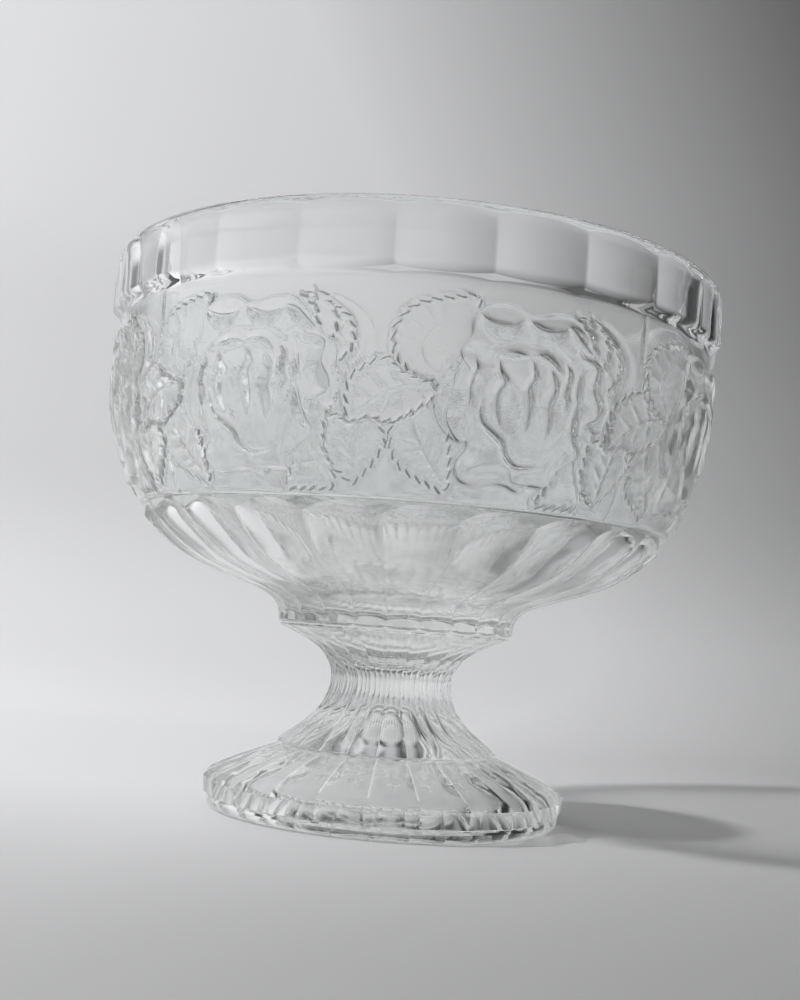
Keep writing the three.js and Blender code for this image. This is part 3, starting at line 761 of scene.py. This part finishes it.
# %% Glass
GLASS_INDEX = 1.52
POLISHED_TINT = "#FDFEFE"             # nearly colourless, with a breath of green-blue
WAVED_TINT = "#FCFDFC"
ETCHED_TINT = "#FBFDFC"
# Painted shade for the step over the arches: a grey base colour.
STEP_PAINTED_SHADE = "#C6CCC7"                 # stands in for light that a narrow step turns away from the eye
# Painted shade for the cuts: a darker base colour on the slots of the teeth and the soft sides of the folds.
CUT_PAINTED_SHADE = "#8C928F"                  # and for what the steep walls of a cut turn away
WAVES_PER_MM = 0.07                   # one wave of the mould in 14 mm
GRAINS_PER_MM = 2.2                   # real etching is far finer; this is as fine as the render can show
CUT_DEPTH = 0.8 * MM
LEAN_IN, LEAN_OUT = 0.3, 0.95         # how far aslant a wall starts to hold back the lamp, and is darkest
LEAST_SHARE = 0.35                    # of the lamp's light, through a wall seen edge-on
# A tooth's edge moves out by TOOTH along its length, and its slot lies just outside of that.
CUTS = (
    ("lean", "FRACT", "teeth"),
    ("out", "SUBTRACT", "lean", 0.5),
    ("edge", "MULTIPLY_ADD", "out", TOOTH, "depth"),
    ("from_slot", "ADD", "edge", 0.3),
    ("from_slot", "ABSOLUTE", "from_slot"),
    ("slot", "SMOOTH", "from_slot", 0.1, 0.42, 1, 0),
    ("starts", "SMOOTH", "lean", 0.0, 0.35),
    ("ends", "SMOOTH", "lean", 0.8, 1.0, 1, 0),
    ("length", "MULTIPLY", "starts", "ends"),
    ("slot", "MULTIPLY", "slot", "length"),
    ("slot", "MULTIPLY", "slot", "weight"),
    ("fold", "SMOOTH", "gap", -0.15, 0.15),
    ("fold", "MULTIPLY", "fold", "strength"),
    ("slot_cut", "MULTIPLY", "slot", 0.6),
    ("fold_cut", "MULTIPLY", "fold", 0.5),
    ("cut", "ADD", "slot_cut", "fold_cut"),
    ("fold_shade", "MULTIPLY", "fold", 0.45),
    ("shade", "ADD", "slot", "fold_shade"),
    ("shade", "MINIMUM", "shade", 1.0),
)


def cuts_with_painted_shade(tree, bent):
    """Sharp teeth and folds on top of the carved ones: the painted shade of each cut, and the bent normal."""
    edge = add_node(tree, "ShaderNodeAttribute", attribute_name="leaf_edge").outputs["Vector"]
    depth, teeth, weight = add_node(tree, "ShaderNodeSeparateXYZ", None, {"Vector": edge}).outputs
    line = add_node(tree, "ShaderNodeAttribute", attribute_name="fold_line").outputs["Vector"]
    gap, strength, _ = add_node(tree, "ShaderNodeSeparateXYZ", None, {"Vector": line}).outputs
    known = {"depth": depth, "teeth": teeth, "weight": weight, "gap": gap, "strength": strength}
    known = work_out(tree, known, CUTS)
    normal = add_node(tree, "ShaderNodeBump", {"Strength": 1.0, "Distance": CUT_DEPTH},
                      {"Height": known["cut"], "Normal": bent}, invert=True).outputs["Normal"]
    return known["shade"], normal


def pressed_glass(name, tint, roughness=None, passes=1.0, wave=0.04, lamp_share=0.94, carved=False):
    """Pressed glass. Its roughness, if any, goes from the first value to the second with the satin."""
    material, tree = new_material(name)
    where = add_node(tree, "ShaderNodeTexCoord").outputs["Object"]
    waves = add_node(tree, "ShaderNodeTexNoise",
                     {"Scale": WAVES_PER_MM / MM, "Detail": 1.5, "Roughness": 0.4}, {"Vector": where})
    polish = add_node(tree, "ShaderNodeBump", {"Strength": wave, "Distance": MM},
                      {"Height": waves.outputs["Fac"]})
    shader = add_node(tree, "ShaderNodeBsdfPrincipled",
                      {"Base Color": colour(tint), "IOR": GLASS_INDEX, "Transmission Weight": passes,
                       "Roughness": 0.0},
                      {"Normal": polish.outputs["Normal"]})
    if roughness:
        etched = add_node(tree, "ShaderNodeAttribute", attribute_name="satin")
        grain = add_node(tree, "ShaderNodeTexNoise", {"Scale": GRAINS_PER_MM / MM, "Detail": 2.0},
                         {"Vector": where})
        frost = add_node(tree, "ShaderNodeBump", {"Distance": 0.02 * MM},
                         {"Strength": etched.outputs["Fac"], "Height": grain.outputs["Fac"],
                          "Normal": polish.outputs["Normal"]})
        amount = add_node(tree, "ShaderNodeMapRange", {"To Min": roughness[0], "To Max": roughness[1]},
                          {"Value": etched.outputs["Fac"]})
        tree.links.new(amount.outputs["Result"], shader.inputs["Roughness"])
        tree.links.new(frost.outputs["Normal"], shader.inputs["Normal"])
    # Painted shade: where the material draws the teeth's slots and the folds, it darkens the base colour.
    if carved:
        cut, normal = cuts_with_painted_shade(tree, polish.outputs["Normal"])
        tree.links.new(normal, frost.inputs["Normal"])
        shade = add_node(tree, "ShaderNodeMix", {"A": colour(tint), "B": colour(CUT_PAINTED_SHADE)},
                         {"Factor": cut}, data_type="RGBA")
        tree.links.new(shade.outputs["Result"], shader.inputs["Base Color"])
    lamp = add_node(tree, "ShaderNodeLightPath").outputs["Is Shadow Ray"]
    slant = add_node(tree, "ShaderNodeLayerWeight", {"Blend": 0.5}).outputs["Facing"]
    passed = add_node(tree, "ShaderNodeMapRange",
                      {"From Min": LEAN_IN, "From Max": LEAN_OUT, "To Min": lamp_share,
                       "To Max": LEAST_SHARE},
                      {"Value": slant}, interpolation_type="SMOOTHSTEP").outputs["Result"]
    share = add_node(tree, "ShaderNodeMath", None, {0: lamp, 1: passed}, operation="MULTIPLY")
    clear = add_node(tree, "ShaderNodeBsdfTransparent")
    mixed = add_node(tree, "ShaderNodeMixShader", None, {0: share.outputs["Value"], 1: shader.outputs["BSDF"],
                                                        2: clear.outputs["BSDF"]})
    add_node(tree, "ShaderNodeOutputMaterial", None, {"Surface": mixed.outputs["Shader"]})
    return material


# Fire-polished: mirrors the room sharply, and bends it a little. It is the rim band and the lip.
polished_glass = pressed_glass("pressed_glass_fire_polished", POLISHED_TINT, wave=0.12)
# The flutes and the foot were polished less evenly, so what is seen through them wavers.
waved_glass = pressed_glass("pressed_glass_waved", WAVED_TINT, wave=0.5, lamp_share=0.97)
# The step over the arches of the flutes gets painted shade, a grey base colour, so the arches stand out
# against it.
step_painted_shade = pressed_glass("pressed_glass_grey_step", STEP_PAINTED_SHADE, wave=0.12)
# The ridges' narrow faces get a painted highlight: a partly white finish that throws back a part of the
# light, as thin pale lines.
ridge_painted_highlight = pressed_glass("pressed_glass_worn_ridge", ETCHED_TINT, passes=0.6, lamp_share=0.9)
# Etched with acid: what lies behind melts away, and the carving shows as soft light and dark. Painted shade
# darkens the slots of the teeth and the folds further.
etched_glass = pressed_glass("pressed_glass_etched_satin", ETCHED_TINT, roughness=(0.02, 0.045), passes=0.9,
                             carved=True)
# The inside was pressed by a smooth plunger and is worn by use: it blurs what is seen through it a little.
inner_glass = pressed_glass("pressed_glass_satin_inside", POLISHED_TINT, roughness=(0.0, 0.02), passes=1.0,
                            lamp_share=0.92)
print("materials:", polished_glass.name, etched_glass.name, inner_glass.name)

# %% [markdown]
# The bond has the glass's own index, so light passes from one body to the other unbent and the joint can't
# be seen. Here the two joint faces and the film all get one finish that doesn't bend light, which gives the
# same picture with fewer mirrors. The film is turned like the two bodies, a hair thinner than the gap that
# it fills, so that no two faces lie in one plane.

# %% Joint
JOINT_LOW, JOINT_HIGH, BOND_R = 56.0, 56.3, 34.8
HAIR = 0.02
SPECKS_PER_MM = 0.9                   # faint patches of cure, about 1 mm wide


def clear_bond(name):
    """Cured clear bond: it bends no light, and blurs it by less than the eye can tell."""
    material, tree = new_material(name)
    where = add_node(tree, "ShaderNodeTexCoord").outputs["Object"]
    specks = add_node(tree, "ShaderNodeTexNoise", {"Scale": SPECKS_PER_MM / MM, "Detail": 2.0},
                      {"Vector": where})
    cure = add_node(tree, "ShaderNodeMapRange", {"To Min": 0.0, "To Max": 0.01},
                    {"Value": specks.outputs["Fac"]})
    shader = add_node(tree, "ShaderNodeBsdfPrincipled",
                      {"Base Color": colour("#FFFFFF"), "IOR": 1.0, "Transmission Weight": 1.0},
                      {"Roughness": cure.outputs["Result"]})
    add_node(tree, "ShaderNodeOutputMaterial", None, {"Surface": shader.outputs["BSDF"]})
    return material


film_line = np.array([(0, JOINT_LOW + HAIR), (BOND_R, JOINT_LOW + HAIR), (BOND_R, JOINT_HIGH - HAIR),
                      (0, JOINT_HIGH - HAIR)])
film = spin("bond_film_body", film_line)
bond = clear_bond("clear_cured_bond")
film.data.materials.append(bond)

# %% [markdown]
# Each face gets its finish by its place. The vertices that were kept aside while the bodies were shaped say
# which faces belong to the frieze, the inside, the step over the arches and the hollow. A ridge is a thin
# strip at every 24th of a turn.

# %% Finishes of the faces
RIDGE_SHARE = 0.02                    # of a flute's width, to each side of a ridge's middle
INSIDE_LOW = 62                       # above the joint, below the floor of the bowl
FLUTES_TOP = 88
BOWL_FINISHES = (polished_glass, bond, etched_glass, inner_glass, ridge_painted_highlight, waved_glass, step_painted_shade)
FOOT_FINISHES = (waved_glass, bond, inner_glass, ridge_painted_highlight)
JOINTS = ((bowl, BOWL_FINISHES, JOINT_HIGH), (foot, FOOT_FINISHES, JOINT_LOW))
RIDGES = ((bowl, BOWL_FINISHES, 61, 84), (foot, FOOT_FINISHES, 11, 26))   # painted highlight between these heights
for piece, finishes, _ in JOINTS:
    for finish in finishes:
        piece.data.materials.append(finish)


def corners_in(face, chosen):
    """Whether all corners of the face are among the chosen vertices."""
    return chosen[list(face.vertices)].all()


for piece, finishes, joint_z in JOINTS:
    for face in piece.data.polygons:
        if abs(face.center.z / MM - joint_z) < 0.01 and face.center.xy.length / MM < BOND_R + 0.1:
            face.material_index = finishes.index(bond)
for face in foot.data.polygons:
    if corners_in(face, hollow):
        face.material_index = FOOT_FINISHES.index(inner_glass)
for face in bowl.data.polygons:
    face_z = face.center.z / MM
    unpainted = face.material_index == 0
    if corners_in(face, frieze):
        face.material_index = BOWL_FINISHES.index(etched_glass)
    elif unpainted and corners_in(face, inside) and face_z > INSIDE_LOW:
        face.material_index = BOWL_FINISHES.index(inner_glass)
    elif corners_in(face, over_arch):
        face.material_index = BOWL_FINISHES.index(step_painted_shade)
    elif unpainted and face_z < FLUTES_TOP:
        face.material_index = BOWL_FINISHES.index(waved_glass)
# The narrow faces on the ridges get the partly white finish, a painted highlight.
for piece, finishes, low_z, high_z in RIDGES:
    clear_ones = [i for i, finish in enumerate(finishes) if finish in (polished_glass, waved_glass)]
    for face in piece.data.polygons:
        turns = math.atan2(face.center.x, -face.center.y) / (2 * math.pi) * FLUTES
        on_ridge = abs(turns - round(turns)) < RIDGE_SHARE and low_z < face.center.z / MM < high_z
        if on_ridge and face.material_index in clear_ones:
            face.material_index = finishes.index(ridge_painted_highlight)
    shares = [sum(face.material_index == i for face in piece.data.polygons) for i in range(len(finishes))]
    print(piece.name, "faces by finish:", shares)

# %% [markdown]
# Each piece rides on the root body, and the imported solid that it stands for is hidden.

# %% Bodies of the pieces
for piece, node, slot in ((bowl, "bowl", "bowl_glass"), (foot, "foot", "foot_glass"),
                          (film, "bond_film", "bond")):
    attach(piece, "root")
    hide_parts(node)
    print(piece.name, "stands for", node)

# %% [markdown]
# The studio is one sheet of pale paper that lies on the table and sweeps up behind the bowl. Its colour fades
# from pale on the left to grey at the upper right, as the light in the room does.
#
# Clear glass shows only what it mirrors and bends, so the paper is darker in a few places beside and above
# the picture: a dark field on the left, one on the right, and a dark upper end on the left. They draw the
# dark lines along the rim, the ridges and the ring of the foot.
#
# The paper could be lit unevenly by more lamps, but they would light the bowl as well. A colour that fades
# does the same and leaves the light plain.

# %% Floor and backdrop
WALL_PLACE, WALL_HEIGHT, SWEEP_RADIUS = 0.6, 3, 0.35   # metres

bpy.ops.mesh.primitive_plane_add(size=1, location=(0, 0, 0))
sweep = bpy.context.object
sweep.name = "paper_sweep"
sweep.scale = (6, 3.2, 1)             # metres, from wall to wall and from front to back
sweep.location = (0, -1.0, -0.1 * MM)
bpy.ops.object.transform_apply(location=True, rotation=False, scale=True)
select_none("EDGE")
for edge in sweep.data.edges:
    edge.select = all(sweep.data.vertices[i].co.y > 0 for i in edge.vertices)
bpy.ops.object.mode_set(mode="EDIT")
bpy.ops.mesh.extrude_region_move(TRANSFORM_OT_translate={"value": (0, 0, WALL_HEIGHT)})
bpy.ops.mesh.select_all(action="DESELECT")
bpy.ops.object.mode_set(mode="OBJECT")
for edge in sweep.data.edges:
    ends = [sweep.data.vertices[i].co for i in edge.vertices]
    edge.select = all(abs(end.y - WALL_PLACE) < 0.01 and end.z < 0.01 for end in ends)
bpy.ops.object.mode_set(mode="EDIT")
bpy.ops.mesh.bevel(offset=SWEEP_RADIUS, segments=24, profile=0.5)
bpy.ops.object.mode_set(mode="OBJECT")
bpy.ops.object.shade_smooth()
print("sweep:", len(sweep.data.polygons), "faces")

# %% Paper
PAPER_WHITE = "#FDFDFE"
# Places are in metres: across to the right, deep to the back, high upwards. A tone of 1 is white.
PAPER_TONES = (
    # The floor is palest behind the bowl and darker in front of it. Its left and front ends are out of sight.
    ("floor", "SMOOTH", "deep", -0.22, 0.05, 0.57, 0.87),
    ("left_end", "SMOOTH", "across", -0.15, -0.4, 0.4, 0.82),
    ("floor", "MAXIMUM", "floor", "left_end"),
    ("front_end", "SMOOTH", "deep", -0.26, -0.36, 0.4, 0.76),
    ("floor", "MAXIMUM", "floor", "front_end"),
    # The curve and the wall are darker than the floor.
    ("curve", "SMOOTH", "deep", 0.25, 0.42, 0, 0.14),
    ("wall", "SMOOTH", "high", 0, 0.18, 0, 0.18),
    ("loss", "ADD", "curve", "wall"),
    ("gain", "SMOOTH", "high", 0.28, 0.42, 0, 0.045),
    ("loss", "SUBTRACT", "loss", "gain"),
    ("base", "SUBTRACT", "floor", "loss"),
    # The fade to the right runs along a slanting line.
    ("half_high", "MULTIPLY", "high", 0.5),
    ("aslant", "ADD", "across", "half_high"),
    ("curve_shift", "SMOOTH", "deep", 0.25, 0.45, 0, 0.13),
    ("aslant", "SUBTRACT", "aslant", "curve_shift"),
    ("front_shift", "SMOOTH", "deep", -0.1, 0.15, 0.06, 0),
    ("aslant", "ADD", "aslant", "front_shift"),
    ("to_right", "EVEN", "aslant", 0.0, 0.5, 1, 0.12),
    ("low_least", "SMOOTH", "high", 0.12, 0.3, 0.5, 0.05),
    ("to_right", "MAXIMUM", "to_right", "low_least"),
    ("tone", "MULTIPLY", "base", "to_right"),
    # The dark fields beside the picture.
    ("left_near", "SMOOTH", "across", -0.5, -0.75),
    ("left_far", "SMOOTH", "across", -1.6, -1.2),
    ("left_wide", "MULTIPLY", "left_near", "left_far"),
    ("left_foot", "SMOOTH", "high", 0.1, 0.25, 0, 0.8),
    ("left_top", "SMOOTH", "high", 0.55, 0.42),
    ("left_tall", "MULTIPLY", "left_foot", "left_top"),
    ("left_field", "MULTIPLY", "left_wide", "left_tall"),
    ("right_near", "SMOOTH", "across", 0.45, 0.6),
    ("right_foot", "SMOOTH", "high", 0.04, 0.12),
    ("right_field", "MULTIPLY", "right_near", "right_foot"),
    ("fields", "ADD", "left_field", "right_field"),
    ("right_far", "SMOOTH", "across", 1.6, 1.2),
    ("fields", "MULTIPLY", "fields", "right_far"),
    ("lit", "SUBTRACT", 1.0, "fields"),
    ("lit", "MAXIMUM", "lit", 0.03),
    ("tone", "MULTIPLY", "tone", "lit"),
    ("right_wall", "SMOOTH", "across", 1.2, 1.6),
    ("right_wall", "MULTIPLY", "right_wall", 0.4),
    ("tone", "MAXIMUM", "tone", "right_wall"),
    # Above the picture the paper stays pale on the left and in the middle, up to its dark end.
    ("above", "SMOOTH", "high", 0.62, 0.8, 0, 0.55),
    ("above_left", "SMOOTH", "across", 0.35, 0.1),
    ("above", "MULTIPLY", "above", "above_left"),
    ("dark_end", "SMOOTH", "high", 1.08, 1.25, 0, 0.95),
    ("dark_left", "SMOOTH", "across", -0.1, -0.35),
    ("dark_end", "MULTIPLY", "dark_end", "dark_left"),
    ("kept", "SUBTRACT", 1.0, "dark_end"),
    ("tone", "MAXIMUM", "tone", "above"),
    ("tone", "MULTIPLY", "tone", "kept"),
)
paper, tree = new_material("matt_paper")
where = add_node(tree, "ShaderNodeTexCoord").outputs["Object"]
axes = add_node(tree, "ShaderNodeSeparateXYZ", None, {"Vector": where}).outputs
known = {"across": axes["X"], "deep": axes["Y"], "high": axes["Z"]}
tone = work_out(tree, known, PAPER_TONES)["tone"]
white = add_node(tree, "ShaderNodeMix", {"A": colour("#000000"), "B": colour(PAPER_WHITE)},
                 {"Factor": tone}, data_type="RGBA").outputs["Result"]
shader = add_node(tree, "ShaderNodeBsdfPrincipled", {"Roughness": 0.9, "Specular IOR Level": 0.1},
                  {"Base Color": white})
add_node(tree, "ShaderNodeOutputMaterial", None, {"Surface": shader.outputs["BSDF"]})
sweep.data.materials.append(paper)
print("paper:", len(tree.nodes), "nodes")

# %% [markdown]
# A window stands on the left, a little in front of the bowl, and throws the soft shadow to the right. The
# glass doesn't mirror it, because so small and strong a lamp leaves speckles; a much weaker lamp in the same
# place is mirrored instead and gives the glints. The rest is the light of a pale room, which is darker on the
# right and overhead.

# %% Light
ROOM_LEFT, ROOM_RIGHT, ROOM_CEILING = "#F2F4F6", "#A6A5A4", "#707070"
ROOM_STRENGTH = 1.12
LAMP_PLACE = (-1.32, -0.53, 1.0)      # metres
LAMP_TILT = math.radians(54)          # from straight down
bpy.ops.object.light_add(type="AREA", location=LAMP_PLACE)
window = bpy.context.object
window.name = "window"
window.data.shape = "RECTANGLE"
window.data.size, window.data.size_y = 0.1, 0.12
window.visible_transmission = False
window.visible_glossy = False
window.data.energy = 21
turned = Matrix.Rotation(math.atan2(LAMP_PLACE[1], LAMP_PLACE[0]) + math.pi / 2, 3, "Z")
aim = turned @ Matrix.Rotation(LAMP_TILT, 3, "X")
window.rotation_euler = aim.to_euler()
bpy.ops.object.light_add(type="AREA", location=LAMP_PLACE)
glint = bpy.context.object
glint.name = "glint"
glint.data.size = 0.06
glint.data.energy = 0.7
glint.rotation_euler = aim.to_euler()

world = bpy.data.worlds.new("room")
bpy.context.scene.world = world
world.use_nodes = True
tree = world.node_tree
tree.nodes.clear()
where = add_node(tree, "ShaderNodeTexCoord").outputs["Generated"]
axes = add_node(tree, "ShaderNodeSeparateXYZ", None, {"Vector": where})
side = add_node(tree, "ShaderNodeMapRange", {"From Min": -0.9, "From Max": 0.8}, {"Value": axes.outputs["X"]},
                interpolation_type="SMOOTHSTEP")
tone = add_node(tree, "ShaderNodeMix", {"A": colour(ROOM_LEFT), "B": colour(ROOM_RIGHT)},
                {"Factor": side.outputs["Result"]}, data_type="RGBA")
ceiling = add_node(tree, "ShaderNodeMapRange", {"From Min": 0.55, "From Max": 0.95},
                   {"Value": axes.outputs["Z"]}, interpolation_type="SMOOTHSTEP")
tone = add_node(tree, "ShaderNodeMix", {"B": colour(ROOM_CEILING)},
                {"Factor": ceiling.outputs["Result"], "A": tone.outputs["Result"]}, data_type="RGBA")
sky = add_node(tree, "ShaderNodeBackground", {"Strength": ROOM_STRENGTH},
               {"Color": tone.outputs["Result"]})
add_node(tree, "ShaderNodeOutputWorld", None, {"Surface": sky.outputs["Background"]})
# Light crosses many walls of glass before it comes out again.
BOUNCES = 32
bpy.context.scene.view_settings.view_transform = "Standard"
bpy.context.scene.cycles.max_bounces = BOUNCES
bpy.context.scene.cycles.transmission_bounces = BOUNCES
bpy.context.scene.cycles.glossy_bounces = BOUNCES
print("lights: window", window.data.energy, "W, glint", round(glint.data.energy, 2), "W and the room")
